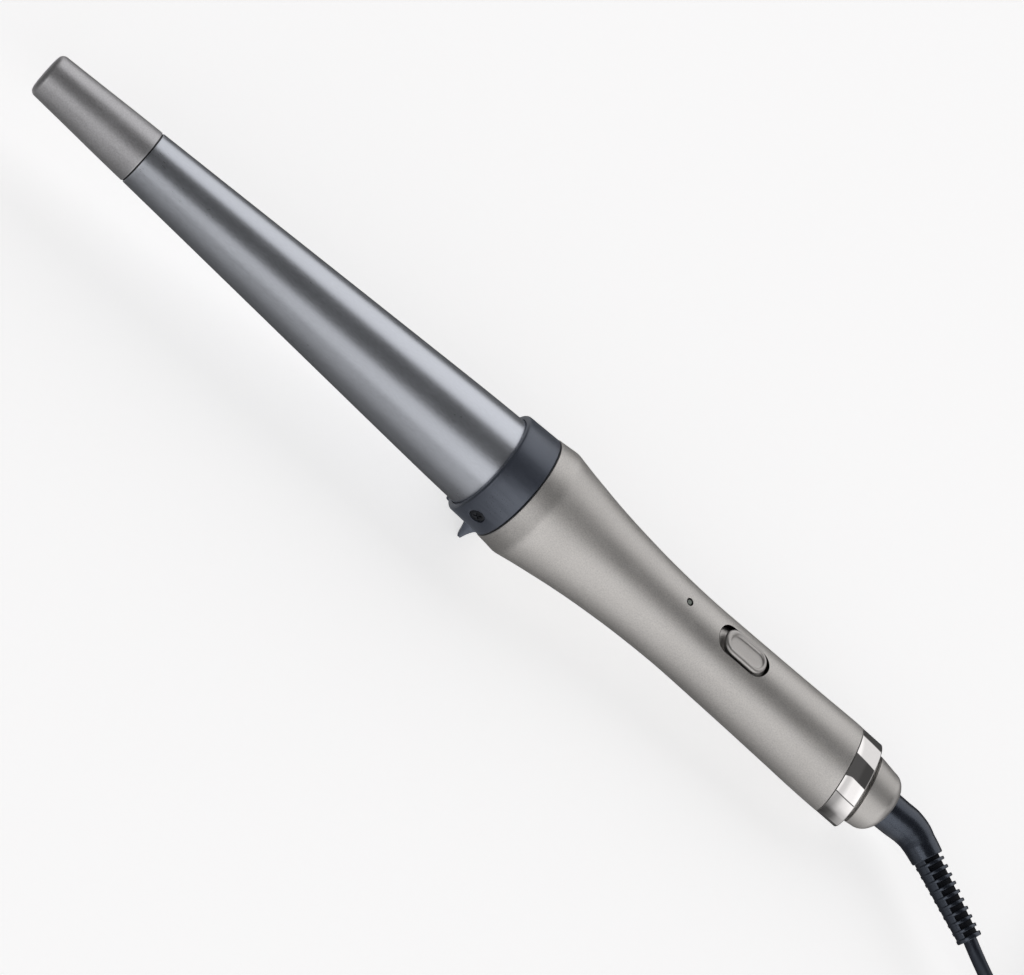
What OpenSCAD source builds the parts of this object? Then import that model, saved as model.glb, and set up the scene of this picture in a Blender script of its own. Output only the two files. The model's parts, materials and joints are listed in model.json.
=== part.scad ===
// Conical curling wand: insulated tip, tapered barrel, dark collar with a
// fold-down safety stand, waisted handle with a slide switch, mirror ring,
// rounded end cap with a swivelling cord, folded mains lead and plug.
//
// Most pieces are drawn along the wand's own axis: x runs from the tip to the
// cord with x = 0 near the collar's rear edge, and z points to the switch
// side. lay() then sets the wand down as it rests: on the two toes of the
// folded stand and the underside of the mirror ring, with the floor at z = 0.

/* [Cool tip] */
// Length of the insulated tip
tip_length = 35; // [30:0.5:42]
// Diameter at the tip's rounded end
tip_end_d = 14; // [13.4:0.1:14.6]
// Width of the dark seam between tip and barrel
tip_seam = 0.4; // [0.3:0.05:0.6]

/* [Barrel] */
// Length of the heated cone in front of the collar
barrel_length = 133; // [130:1:150]
// Diameter of the cone at the tip end
barrel_tip_d = 17.6; // [17.4:0.1:18]
// Diameter of the cone at the collar
barrel_base_d = 31.6; // [31.5:0.1:31.8]
// Wall of the cone
barrel_wall = 1.1; // [0.9:0.1:1.2]

/* [Collar] */
// Diameter of the collar's front edge
collar_front_d = 35.8; // [35.6:0.1:36.4]
// Diameter of the collar's rear edge
collar_rear_d = 36.6; // [36.3:0.1:36.8]
// Diameter of the round recesses for the two screws
screw_recess_d = 5; // [4.8:0.1:5.2]

/* [Safety stand] */
// Half of the angle that the plate covers round the collar
stand_half_angle = 34; // [34:0.5:36]
// Angle of each toe from the underside
toe_angle = 30; // [28:0.5:30]
// Reach of the toes from the wand's axis
toe_reach = 24.2; // [23.8:0.1:24.6]
// Thickness of each toe
toe_thickness = 2.4; // [2:0.1:2.6]

/* [Handle] */
// Wall of the handle sleeve
handle_wall = 1.6; // [1.5:0.05:1.65]
// Position of the indicator light
light_x = 61.6; // [56:0.2:64]
// Diameter of the indicator light's hole
light_hole_d = 2.2; // [2.1:0.1:2.4]
// Diameter of the indicator light's lens
light_d = 1.5; // [1.3:0.1:1.7]

/* [Switch] */
// Middle of the switch slot
slot_x = 84.8; // [84.6:0.1:85.2]
// Length of the slot
slot_length = 19.6; // [19.6:0.1:20]
// Width of the slot
slot_width = 9; // [9:0.1:9.2]
// Length of the knob
knob_length = 16.5; // [16.2:0.1:16.5]
// Width of the knob
knob_width = 8.4; // [8.2:0.1:8.4]
// Height of the knob's rim over the wand's axis
knob_top = 13.95; // [13.8:0.05:14.2]

/* [Rear end] */
// Outer diameter of the mirror ring
ring_d = 28.7; // [28.6:0.1:28.9]
// Width of the mirror ring along the wand
ring_width = 8.5; // [8.3:0.1:8.7]
// Angle of the slanted joints, in degrees
slant = 19.3; // [17:0.1:20]

/* [Mains lead] */
// Diameter of the lead
cord_d = 4.4; // [4.2:0.1:4.4]
// Straight runs of the folded hank
hank_run = 68; // [66:1:72]
// Radius of the hank's inner fold
hank_fold = 13.5; // [13.5:0.5:14]
// Diameter of the plug's pins
pin_d = 4; // [3.9:0.1:4.1]
// Distance between the plug's pins
pin_pitch = 19; // [18.6:0.1:19]

/* [Hidden] */
$fn = 64;

e = 0.01;
// How the wand rests: tilt about y, then the shift to the floor
rest_tilt = 2.5;
rest_x = 10.6;
rest_z = 20.98;

// Stations along the wand
seam_x = -10.4 - barrel_length;
tip_rear = seam_x - tip_seam;
tip_front = tip_rear - tip_length;
collar_front = -10.6;
collar_rear = 1.2;
handle_front = 1.6;
handle_rear = 138.3;
ring_front = 138.5;
ring_rear = ring_front + ring_width;
cap_rear = 157.4;
hinge_x = -9.2;
hinge_z = -17.7;
knob_x = slot_x + slot_length / 2 - 0.9 - knob_length / 2;

// Barrel outline: share of the length, share of the growth in radius
barrel_line = [[0, 0], [0.23, 0.235], [0.47, 0.485], [0.71, 0.733], [0.89, 0.913], [1, 1]];
// Handle outline: station, radius
handle_line = [
    [1.6, 18.5], [5, 18.78], [7.4, 19.05], [8.6, 19.08], [9.8, 18.92], [11.6, 18.6],
    [14.4, 18.1], [17.5, 17.6], [20.6, 17.14], [25, 16.48], [30, 15.81], [36, 15.13],
    [42.5, 14.53], [49, 14], [55, 13.65], [61.5, 13.38], [68, 13.2], [74.5, 13.18],
    [81, 13.27], [87.5, 13.38], [94, 13.5], [100.5, 13.62], [107, 13.76], [113.5, 13.92],
    [120, 14.07], [127, 14.28], [133.5, 14.4], [139, 14.4], [144.5, 14.4]
];
// End cap outline: station, radius
cap_line = [[140, 12], [144, 11.9], [147, 11.55], [150.4, 11.1], [153.2, 10.7]];
// Boot: centre points along the wand's axis, and radii
boot_line = [
    [156.4, 0, 0], [157.6, 0, 0], [160, 0.2, 0.15], [163.9, 0.17, 0.35], [167.65, 0.03, 0.87], [171.2, -0.86, 1.34],
    [174.15, -2.25, 1.55], [176.15, -3.4, 1.82], [178.5, -4.91, 2.13], [178.7, -5.04, 2.16]
];
boot_r = [6.4, 6.4, 6.35, 6.27, 6.15, 5.84, 5.43, 5.3, 5.16, 3.4];
rib_start = [180.25, -6.05, 2.3];
rib_end = [201.7, -20.4, 5.25];
rib_pitch = 0.1083;
ribs = 9;
// Lead from the boot down to the hank
lead_line = [
    [216.3, -23.2, 17.4], [222.35, -25.95, 16.3], [230.55, -28.1, 14], [240.8, -29.05, 10.55],
    [251.2, -29.05, 7.1], [261.3, -28.4, 4.4], [272, -27.5, 2.9]
];
// Lead from the hank's top run to the plug
tail_line = [
    [340, -27.5, 16.1], [349, -27.2, 15.3], [358, -25.4, 13], [367, -21.6, 10.2],
    [375, -17, 8.2], [382, -13.2, 7.2], [389, -11.2, 6.9]
];
hank_x = 272;
hank_y = -9.5;
hank_layers = 4;
hank_z = 0.7;
plug_x = 404;
plug_y = -11;
plug_z = 6.9;

// ---------------------------------------------------------------- helpers

function mix(a, b, t) = a + (b - a) * t;
function unit(v) = v / norm(v);
// Point between b and c on a smooth curve through a, b, c and d
function smooth(a, b, c, d, t) =
    0.5 * (2 * b + (c - a) * t + (2 * a - 5 * b + 4 * c - d) * t * t
        + (3 * b - a - 3 * c + d) * t * t * t);
// The points of a line with n steps between each pair
function curve(p, n) = [
    for (i = [0:len(p) - 2], j = [0:n - 1])
        smooth(p[max(i - 1, 0)], p[i], p[i + 1], p[min(i + 2, len(p) - 1)], j / n),
    p[len(p) - 1]
];
// An arc of a profile, as [radius, station]
function bend(cx, cr, r, a0, a1, n) = [
    for (i = [0:n]) let (a = mix(a0, a1, i / n)) [cr + r * sin(a), cx + r * cos(a)]
];
// A point of the wand where it lies at rest
function laid(p) = [
    p[0] * cos(rest_tilt) + p[2] * sin(rest_tilt) + rest_x,
    p[1],
    p[2] * cos(rest_tilt) - p[0] * sin(rest_tilt) + rest_z
];
function barrel_r(x) =
    let (t = (x - seam_x) / barrel_length)
    mix(barrel_tip_d, barrel_base_d, lookup(t, barrel_line)) / 2;

module lay() translate([rest_x, 0, rest_z]) rotate([0, rest_tilt, 0]) children();
module along_x() rotate([0, 90, 0]) children();

// Solid of revolution about the wand's axis from [station, radius] points
module turned(p) along_x() rotate_extrude() polygon([for (q = p) [q[1], q[0]]]);
module rod(x0, x1, r, y = 0, z = 0)
    translate([x0, y, z]) along_x() cylinder(h = x1 - x0, r = r);
module taper(x0, x1, r0, r1)
    translate([x0, 0, 0]) along_x() cylinder(h = x1 - x0, r1 = r0, r2 = r1);
module tube(x0, x1, r, ri)
    difference() {
        rod(x0, x1, r);
        rod(x0 - 1, x1 + 1, ri);
    }
module box(x, y, z) translate([x[0], y[0], z[0]])
    cube([x[1] - x[0], y[1] - y[0], z[1] - z[0]]);
// Everything behind the slanted plane that crosses the axis at x
module behind(x) translate([x, 0, 0]) rotate([0, -slant, 0])
    translate([0, -40, -60]) cube([80, 80, 120]);
// Slot shape, standing on z = 0
module obround(length, width, height) {
    cylinder(h = height, d = width);
    for (s = [-1, 1])
        translate([s * (length - width) / 2, 0, 0]) cylinder(h = height, d = width);
    translate([-(length - width) / 2, -width / 2, 0]) cube([length - width, width, height]);
}
// Tube of n sides through the points p, with radii r
module swept(p, r, n = 8) {
    m = len(p);
    t = [for (i = [0:m - 1]) unit(p[min(i + 1, m - 1)] - p[max(i - 1, 0)])];
    s = [for (v = t) unit(cross(v, [0, 0, 1]))];
    u = [for (i = [0:m - 1]) cross(s[i], t[i])];
    polyhedron(
        points = [
            for (i = [0:m - 1], k = [0:n - 1])
                p[i] + r[i] * (cos(360 * (k + 0.5) / n) * s[i] + sin(360 * (k + 0.5) / n) * u[i])
        ],
        faces = concat(
            [[for (k = [0:n - 1]) n - 1 - k]],
            [for (i = [0:m - 2], k = [0:n - 1])
                [i * n + k, i * n + (k + 1) % n, (i + 1) * n + (k + 1) % n, (i + 1) * n + k]],
            [[for (k = [0:n - 1]) (m - 1) * n + k]]
        ),
        convexity = 6
    );
}
module wire(p, r, n = 8) swept(p, [for (q = p) r], n);
// Cross-head screw with its head's top at z = 0 and its shank going down
module screw(head_r, head_h, shank_r, length) difference() {
    union() {
        translate([0, 0, -head_h]) cylinder(h = head_h, r = head_r, $fn = 32);
        translate([0, 0, -head_h - length]) cylinder(h = length + e, r = shank_r, $fn = 32);
    }
    for (a = [0, 90]) rotate([0, 0, a])
        translate([-head_r * 0.62, -head_r * 0.13, -head_h * 0.55])
            cube([head_r * 1.24, head_r * 0.26, head_h]);
}

// -------------------------------------------------------------------- tip

module cool_tip() color([0.49, 0.49, 0.50]) lay() difference() {
    r = tip_end_d / 2;
    turned(concat(
        [[tip_front, 0]],
        [[tip_front + 0.12, 2.5], [tip_front + 0.3, r - 1.8]],
        [for (a = [15:15:75]) [tip_front + 0.3 + 1.8 * (1 - cos(a)), r - 1.8 + 1.8 * sin(a)]],
        [[tip_front + 2.1, r], [tip_front + 4.4, r + 0.13], [tip_front + 17.9, r + 0.85],
         [tip_rear - 1.8, barrel_tip_d / 2 - 0.07], [tip_rear - 0.2, barrel_tip_d / 2 - 0.03],
         [tip_rear, barrel_tip_d / 2 - 0.18],
         [tip_rear, 7.02], [tip_rear - 6.2, 7.02], [tip_rear - 6.2, 6.6],
         [tip_front + 2.6, 5.4], [tip_front + 2.6, 3], [tip_rear - 6.4, 3], [tip_rear - 6.4, 0]]
    ));
    rod(tip_rear - 21, tip_rear - 6, 1.3);
}

module tip_insulator() color([0.10, 0.10, 0.11]) lay() difference() {
    union() {
        rod(tip_rear, seam_x, barrel_tip_d / 2 - 0.3);
        rod(tip_rear - 6.1, tip_rear + e, 6.95);
    }
    rod(tip_rear - 7, seam_x + 1, 1.6);
}

module tip_screw() color([0.70, 0.71, 0.72]) lay()
    translate([seam_x + 1.5 + 2.2, 0, 0]) rotate([0, 90, 0]) screw(3.2, 2.2, 1.25, 20);

// ----------------------------------------------------------------- barrel

module barrel() color([0.46, 0.49, 0.54]) lay() {
    line = curve(barrel_line, 4);
    tip_r = barrel_tip_d / 2;
    base_r = barrel_base_d / 2;
    outer = [for (q = line) [seam_x + q[0] * barrel_length, mix(tip_r, base_r, q[1])]];
    n = len(outer);
    difference() {
        turned(concat(
            [[seam_x, 0], [seam_x, tip_r - 0.12], [seam_x + 0.15, tip_r]],
            [for (i = [1:n - 1]) outer[i]],
            [[-9, base_r + 0.1], [5, base_r + 0.1], [5, base_r + 0.1 - barrel_wall]],
            [[-9, base_r + 0.1 - barrel_wall]],
            [for (i = [n - 2:-1:1]) [outer[i][0], outer[i][1] - barrel_wall]],
            [[seam_x + 1.5, tip_r - barrel_wall + 0.05], [seam_x + 1.5, 0]]
        ));
        rod(seam_x - 1, seam_x + 3, 1.6);
        for (s = [-1, 1])
            translate([-5.2, 0, 0]) rotate([s * -90, 0, 0]) cylinder(h = 20, r = 1.1);
    }
}

// ----------------------------------------------------------------- heater

heat_x0 = -108;
heat_x1 = -42;
heat_r0 = 9.2;
heat_r1 = 12.9;

module clip_at(x, r) translate([x, 0, 0]) rotate([0, 90, 0]) rotate([0, 0, -60])
    rotate_extrude(angle = 300) translate([barrel_r(x) - barrel_wall - 0.85, 0])
        circle(r = r, $fn = 24);
module heater_half() difference() {
    intersection() {
        taper(heat_x0, heat_x1, heat_r0, heat_r1);
        box([heat_x0 - 1, heat_x1 + 1], [-15, 15], [2, 15]);
    }
    intersection() {
        taper(heat_x0 - e, heat_x1 + e, heat_r0 - 1.5, heat_r1 - 1.5);
        box([heat_x0 - 1, heat_x1 + 1], [-15, 15], [3.6, 15]);
    }
    for (x = [-102, -48]) translate([x, 0, 0]) along_x() rotate_extrude()
        translate([barrel_r(x) - barrel_wall - 0.85, 0]) circle(r = 0.72, $fn = 24);
}
module heater_block_upper() color([0.74, 0.75, 0.76]) lay() heater_half();
module heater_block_lower() color([0.74, 0.75, 0.76]) lay() rotate([180, 0, 0]) heater_half();
module ptc_heater() color([0.62, 0.45, 0.22]) lay()
    box([heat_x0 + 1, heat_x1 - 1], [-7.5, 7.5], [-1.65, 1.65]);
module mica_sheets() color([0.80, 0.74, 0.60]) lay()
    for (s = [-1, 1]) box([heat_x0, heat_x1], [-8, 8], [s * 1.82 - 0.13, s * 1.82 + 0.13]);
module heater_clips() color([0.62, 0.63, 0.65]) lay() {
    clip_at(-102, 0.6);
    clip_at(-48, 0.6);
}
module thermistor() color([0.75, 0.42, 0.20]) lay() {
    rod(-60, -54, 1.1, 0, 4.75);
    wire([[-54.2, 0, 4.75], [14, 0, 4.75], [18, 0, 4.3], [22, 0, 3.4], [26, 0, 3], [30, 0, 3]], 0.5);
}
module thermal_fuse() color([0.86, 0.84, 0.78]) lay() rod(-32, -20, 2, 5, 0);
module heater_leads() color([0.72, 0.16, 0.12]) lay() {
    wire([[heat_x1 - 1, -5, 0], [12, -5, 0], [15, -5, 0.5], [19, -5, 2.1], [22, -5, 2.6], [28, -5, 2.6]], 0.9);
    wire([[-20, 5, 0], [12, 5, 0], [15, 5, 0.5], [19, 5, 2.1], [22, 5, 2.6], [28, 5, 2.6]], 0.9);
    rod(heat_x1 - 1, -32, 0.9, 5, 0);
}

// ----------------------------------------------------------------- collar

module collar() color([0.16, 0.18, 0.22]) lay() difference() {
    rf = collar_front_d / 2;
    rr = collar_rear_d / 2;
    union() {
        difference() {
            turned([
                [collar_front, 16.1], [collar_front, rf - 0.9], [collar_front + 0.08, rf - 0.55],
                [collar_front + 0.26, rf - 0.26], [collar_front + 0.55, rf - 0.08], [collar_front + 0.9, rf], [collar_rear - 0.25, rr], [collar_rear, rr - 0.2],
                [collar_rear, 16.85], [5.4, 16.85], [5.4, 16.1]
            ]);
            // notch for the stand's knuckle
            box([collar_front - 1, -7.4], [-4.7, 4.7], [-25, -15]);
            // pocket that the stand folds into
            intersection() {
                tube(-7.7, collar_rear + 0.1, 25, 16.85);
                stand_wedge(stand_half_angle + 1.2);
            }
        }
        // ears that carry the hinge pin
        for (s = [-1, 1]) {
            translate([hinge_x, s * 4.75, hinge_z]) rotate([s * -90, 0, 0])
                cylinder(h = 1.85, r = 1.3, $fn = 32);
            translate([hinge_x - 1.3, s > 0 ? 4.75 : -6.6, hinge_z]) cube([2.6, 1.85, 1.45]);
        }
    }
    translate([hinge_x, 8, hinge_z]) rotate([90, 0, 0]) cylinder(h = 16, r = 0.62, $fn = 32);
    for (s = [-1, 1]) translate([-5.2, 0, 0]) rotate([s * -90, 0, 0]) {
        translate([0, 0, 16.8]) cylinder(h = 4, d = screw_recess_d);
        cylinder(h = 20, r = 1.1);
    }
}

module collar_screws() color([0.22, 0.23, 0.26]) lay()
    for (s = [-1, 1]) translate([-5.2, s * 17.8, 0]) rotate([s * -90, 45, 0])
        screw(2.15, 1, 0.95, 5);

// Sector of the wand's cross-section within a of straight down
module stand_wedge(a) rotate([0, 90, 0]) rotate([0, 0, -a])
    translate([0, 0, -20]) rotate_extrude(angle = 2 * a) square([30, 60]);

// ------------------------------------------------------------------ stand

// One toe: station and reach, with hollow flanks
module toe() {
    toe_line = concat(
        [[-4.6, 17.7], [-4.2, 18.15]],
        [for (i = [1:6]) let (t = i / 6) [mix(-4.2, -0.7, pow(t, 0.62)), mix(18.15, toe_reach, pow(t, 1.5))]],
        [[0.4, toe_reach]],
        [for (i = [6:-1:1]) let (t = i / 6) [mix(3, 0.42, pow(t, 0.7)), mix(19.25, toe_reach - 0.1, pow(t, 1.5))]],
        [[3, 19.25], [0.4, 19.2], [0.4, 17.7]]
    );
    rotate([90, 0, 0]) translate([0, 0, -toe_thickness / 2])
        linear_extrude(toe_thickness) polygon([for (q = toe_line) [q[0], -q[1]]]);
}

module safety_stand() color([0.16, 0.18, 0.22]) difference() {
    lay() difference() {
        union() {
            intersection() {
                tube(-7.4, 0.4, 18.05, 17.05);
                stand_wedge(stand_half_angle);
            }
            box([hinge_x, -6.6], [-4.4, 4.4], [-18.05, -17.1]);
            translate([hinge_x, 4.5, hinge_z]) rotate([90, 0, 0])
                cylinder(h = 9, r = 1.15, $fn = 32);
            for (s = [-1, 1]) rotate([s * toe_angle, 0, 0]) toe();
        }
        translate([hinge_x, 6, hinge_z]) rotate([90, 0, 0])
            cylinder(h = 12, r = 0.66, $fn = 32);
    }
    // flat pads where the toes meet the floor
    translate([-100, -50, -30]) cube([200, 100, 30]);
}

module stand_pin() color([0.72, 0.73, 0.74]) lay()
    translate([hinge_x, 6.5, hinge_z]) rotate([90, 0, 0]) cylinder(h = 13, r = 0.6, $fn = 32);

// ------------------------------------------------------------ inner front

module barrel_seat() color([0.24, 0.22, 0.20]) lay() difference() {
    union() {
        rod(-8.6, 5.5, 14.6);
        rod(5.4, 11.9, 16.3);
    }
    rod(-9, 13, 7.2);
    for (s = [-1, 1]) {
        translate([-5.2, 0, 0]) rotate([s * -90, 0, 0]) cylinder(h = 20, r = 1);
        rod(6, 12, 1.1, s * 11.5, 0);
    }
}

module heat_shield() color([0.80, 0.74, 0.60]) lay() difference() {
    rod(12, 13.9, 16.1);
    rod(11, 15, 7.2);
    for (s = [-1, 1]) rod(11, 15, 1.3, s * 11.5, 0);
}

module seat_screws() color([0.70, 0.71, 0.72]) lay()
    for (s = [-1, 1]) translate([17.7, s * 11.5, 0]) rotate([0, 90, 0]) screw(2.3, 1.6, 1, 8);

// ----------------------------------------------------------------- handle

module handle_shell() color([0.58, 0.57, 0.54]) lay() difference() {
    outer = curve(handle_line, 2);
    inner = [for (q = curve([for (p = handle_line) if (p[0] < 128) p], 1)) [q[0], q[1] - handle_wall]];
    turned(concat(
        [[handle_front, 17.05], [handle_front, 18.3], [handle_front + 0.2, 18.5]],
        [for (i = [1:len(outer) - 1]) outer[i]],
        [[144.5, 12.95], [128, 12.95]],
        [for (i = [len(inner) - 1:-1:1]) inner[i]]
    ));
    behind(handle_rear);
    translate([slot_x, 0, 8]) obround(slot_length, slot_width, 10);
    translate([light_x, 0, 8]) cylinder(h = 10, d = light_hole_d);
}

module chassis() color([0.20, 0.21, 0.22]) lay() {
    difference() {
        union() {
            difference() {
                rod(16 - e, 125.9, 11);
                rod(15, 127, 9.7);
                box([16.1, 127], [-12, 12], [-0.75, 12]);
            }
            rod(14, 16, 15.7);
            for (x = [30, 118])
                translate([x, 0, -10.5]) cylinder(h = 9.8, r = 2.6, $fn = 32);
            for (x = [56, 74, 92]) intersection() {
                rod(x, x + 1.2, 10.6);
                box([x - 1, x + 3], [-12, 12], [-12, -4]);
            }
        }
        rod(13, 17, 7.2);
        for (s = [-1, 1]) rod(13, 17, 1.3, s * 11.5, 0);
        for (x = [30, 118]) translate([x, 0, -8]) cylinder(h = 10, r = 1, $fn = 32);
        // room for the seat screws' heads, and for the wires behind the disc
        for (s = [-1, 1]) rod(16, 18.4, 2.7, s * 11.5, 0);
        box([15.9, 23], [-7, 7], [-0.8, 12]);
    }
}

module board_screws() color([0.70, 0.71, 0.72]) lay()
    for (x = [30, 118]) translate([x, 0, 2.5]) screw(2, 1.4, 0.9, 7);

module circuit_board() color([0.10, 0.34, 0.20]) lay() difference() {
    box([24.5, 122], [-9, 9], [-0.68, 1]);
    for (x = [30, 118]) translate([x, 0, -2]) cylinder(h = 4, r = 1.1, $fn = 32);
}

module board_components() color([0.13, 0.13, 0.15]) lay() {
    box([24.8, 27.9], [-7.4, -2.9], [1.05, 1.65]);
    box([24.8, 27.9], [2.9, 7.4], [1.05, 1.65]);
    box([34, 41], [-3.5, 3.5], [1.05, 2.2]);
    box([45, 50], [-7, -3.5], [1.05, 5]);
    translate([50, 4.5, 1.05]) cylinder(h = 5, r = 3.2, $fn = 32);
    rod(99, 111, 3, -4.2, 4.1);
    box([100, 110], [1.5, 7.5], [1.05, 6.5]);
    box([112.5, 115.6], [-7.6, -2.6], [1.05, 6]);
    box([120.2, 121.8], [-7.2, -4.8], [1.05, 1.9]);
    box([120.2, 121.8], [4.8, 7.2], [1.05, 1.9]);
}

module led() color([0.45, 0.85, 0.55, 0.8]) lay() translate([light_x, 0, 0]) {
    translate([0, 0, 2]) cylinder(h = 0.5, r = 1.8, $fn = 32);
    translate([0, 0, 2.4]) cylinder(h = 3.8, r = 1.5, $fn = 32);
    translate([0, 0, 6.2]) sphere(r = 1.5, $fn = 32);
    for (s = [-1, 1]) translate([s * 0.9, 0, 1.02]) cylinder(h = 1.1, r = 0.25, $fn = 16);
}

module light_pipe() color([0.60, 0.66, 0.60, 0.7]) lay() translate([light_x, 0, 0]) {
    translate([0, 0, 8.2]) cylinder(h = 1.4, r = 1.7, $fn = 32);
    translate([0, 0, 9.5]) cylinder(h = 3.7, d = light_d, $fn = 32);
}

// ----------------------------------------------------------------- switch

module switch_housing() color([0.14, 0.14, 0.15]) lay() difference() {
    box([knob_x - 8.5, knob_x + 6.5], [-3.8, 3.8], [1.05, 8.5]);
    box([knob_x - 5.4, knob_x + 3.4], [-2.6, 2.6], [3.6, 5.6]);
    box([knob_x - 3.8, knob_x + 1.8], [-1.6, 1.6], [5.5, 9]);
}

module switch_actuator() color([0.86, 0.86, 0.84]) lay() {
    box([knob_x - 3, knob_x + 3], [-2.3, 2.3], [3.95, 5.2]);
    box([knob_x - 1.5, knob_x + 1.5], [-1.3, 1.3], [5.1, 9.28]);
}

module switch_knob() color([0.56, 0.55, 0.53]) lay() translate([knob_x, 0, 0]) difference() {
    union() {
        translate([0, 0, 9.6]) obround(knob_length, knob_width, knob_top - 9.6 - 0.6);
        translate([0, 0, 9.6]) obround(knob_length - 0.5, knob_width - 0.5, knob_top - 9.6 - 0.25);
        translate([0, 0, 9.6]) obround(knob_length - 1.1, knob_width - 1.1, knob_top - 9.6);
        // curved skirt that closes the slot from inside
        intersection() {
            tube(-12.8, 12.8, 11.3, 10.4);
            box([-13, 13], [-5.6, 5.6], [8, 12]);
        }
        for (s = [-1, 1]) translate([s * 2.2 - 0.4, -2, 8.85]) cube([0.8, 4, 0.8]);
    }
    // dished top
    translate([0, 0, knob_top - 0.5]) obround(knob_length - 3, knob_width - 2.2, 1);
}

// --------------------------------------------------------------- rear end

module supply_wires() color([0.20, 0.30, 0.62]) lay()
    for (s = [-1, 1]) rod(120.4, 125.9, 0.7, s * 6, 2.65);

module chrome_ring() color([0.80, 0.80, 0.81]) lay() difference() {
    rod(130, 158, ring_d / 2);
    difference() {
        rod(129, 160, 12.95);
        behind(ring_rear - 1);
    }
    rod(129, 160, 12.4);
    difference() {
        rod(128, 160, 20);
        behind(ring_front);
    }
    behind(ring_rear);
}

module end_cap() color([0.56, 0.55, 0.53]) lay() difference() {
    union() {
        difference() {
            rod(131, 158, 12.85);
            behind(ring_rear - 1.1);
        }
        turned(concat(
            [[131, 0]], [[131, 12.2]], cap_line,
            [for (a = [15:15:90]) [cap_rear - 3.9 + 3.9 * sin(a), 6.76 + 3.9 * cos(a)]],
            [[cap_rear, 0]]
        ));
    }
    rod(130, 142, 11.3);
    rod(130, 148, 10.2);
    rod(130, 154.6, 9.3);
    rod(150, 162, 6.9);
}

module swivel_housing() color([0.16, 0.16, 0.17]) lay() difference() {
    union() {
        rod(126, 141.5, 10.6);
        rod(126, 147.9, 9.9);
    }
    rod(128, 150, 8.3);
    rod(120, 130, 3.06);
}

module swivel_brushes() color([0.72, 0.58, 0.32]) lay() {
    box([132.6, 134.4], [-1.2, 1.2], [5.95, 8.15]);
    box([139.6, 141.4], [-1.2, 1.2], [-8.15, -5.95]);
}

module swivel_rotor() color([0.12, 0.12, 0.13]) lay() difference() {
    union() {
        rod(123.9, 128.4, 3);
        rod(128.4, 151, 4.6);
        rod(151, 154.2, 8.9);
        rod(154.2 - e, 156.4, 6.2);
    }
    tube(124.6, 125.4, 4, 2.6);
}

module slip_rings() color([0.80, 0.66, 0.32]) lay() {
    tube(132, 135, 5.6, 4.63);
    tube(139, 142, 5.6, 4.63);
}

module swivel_clip() color([0.66, 0.67, 0.68]) lay() tube(124.65, 125.35, 4.8, 2.65);

// -------------------------------------------------------------- mains lead

module cord_boot() color([0.10, 0.11, 0.14]) lay() {
    dir = rib_end - rib_start;
    swept(concat(boot_line, [rib_start, mix(rib_start, rib_end, 0.5), rib_end]),
        concat(boot_r, [3.2, 2.95, 2.65]), 12);
    translate(rib_start) rotate([0, acos(dir[2] / norm(dir)), atan2(dir[1], dir[0])]) {
        for (i = [0:ribs]) translate([0, 0, i * rib_pitch * norm(dir) - 0.65])
            cylinder(h = 1.3, r = mix(4.74, 3.9, i / ribs), $fn = 48);
        // the two smooth spines that join the ribs
        intersection() {
            translate([0, 0, -1.9]) cylinder(h = norm(dir) + 1.6, r1 = 4.66, r2 = 3.74, $fn = 48);
            translate([-2.6, -5, -1.9]) cube([5.2, 10, norm(dir) + 1.6]);
        }
    }
}

module power_cord() color([0.10, 0.11, 0.14])
    wire(concat([laid(rib_end)], lead_line), cord_d / 2);

module cord_hank() color([0.10, 0.11, 0.14]) {
    r = hank_fold + 1.5 * cord_d;
    translate([hank_x, hank_y, hank_z]) {
        cylinder(h = hank_layers * cord_d, r = r);
        translate([hank_run, 0, 0]) cylinder(h = hank_layers * cord_d, r = r);
        translate([0, -r, 0]) cube([hank_run, 2 * r, hank_layers * cord_d]);
    }
}

module cord_tail() color([0.10, 0.11, 0.14]) wire(tail_line, cord_d / 2);

module hank_tie() color([0.08, 0.08, 0.09]) {
    r = hank_fold + 1.5 * cord_d;
    h = hank_layers * cord_d;
    translate([hank_x + hank_run / 2 - 4, hank_y, hank_z]) difference() {
        translate([0, -r - 0.8, -0.65]) cube([8, 2 * r + 1.6, h + 1.3]);
        translate([-1, -r - e, -e]) cube([10, 2 * r + 2 * e, h + 2 * e]);
    }
}

module plug_body() color([0.10, 0.11, 0.14]) translate([plug_x, plug_y, plug_z]) difference() {
    union() {
        translate([0, 0, -6.85]) linear_extrude(13.7) polygon([
            [0, -5], [1.5, -6.5], [8, -10], [16, -15.5], [20, -17.2], [22, -17.5], [35, -17.5],
            [36, -16.5], [36, 16.5], [35, 17.5], [22, 17.5], [20, 17.2], [16, 15.5], [8, 10],
            [1.5, 6.5], [0, 5]
        ]);
        translate([-15, 0, 0]) rotate([0, 90, 0]) cylinder(h = 15 + e, r1 = 3.2, r2 = 4.4);
    }
    for (s = [-1, 1]) translate([32, s * pin_pitch / 2, 0]) rotate([0, 90, 0])
        cylinder(h = 6, r = 1.45);
}

module plug_pins() color([0.80, 0.79, 0.74]) for (s = [-1, 1])
    translate([plug_x, plug_y + s * pin_pitch / 2, plug_z]) {
        rod(32.1, 46 + e, 1.4);
        rod(46, 53, pin_d / 2);
        translate([53, 0, 0]) sphere(r = pin_d / 2);
    }

module plug_sleeves() color([0.10, 0.11, 0.14]) for (s = [-1, 1])
    translate([plug_x, plug_y + s * pin_pitch / 2, plug_z]) tube(36, 46, 1.8, 1.42);

// ---------------------------------------------------------------- assembly

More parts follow.
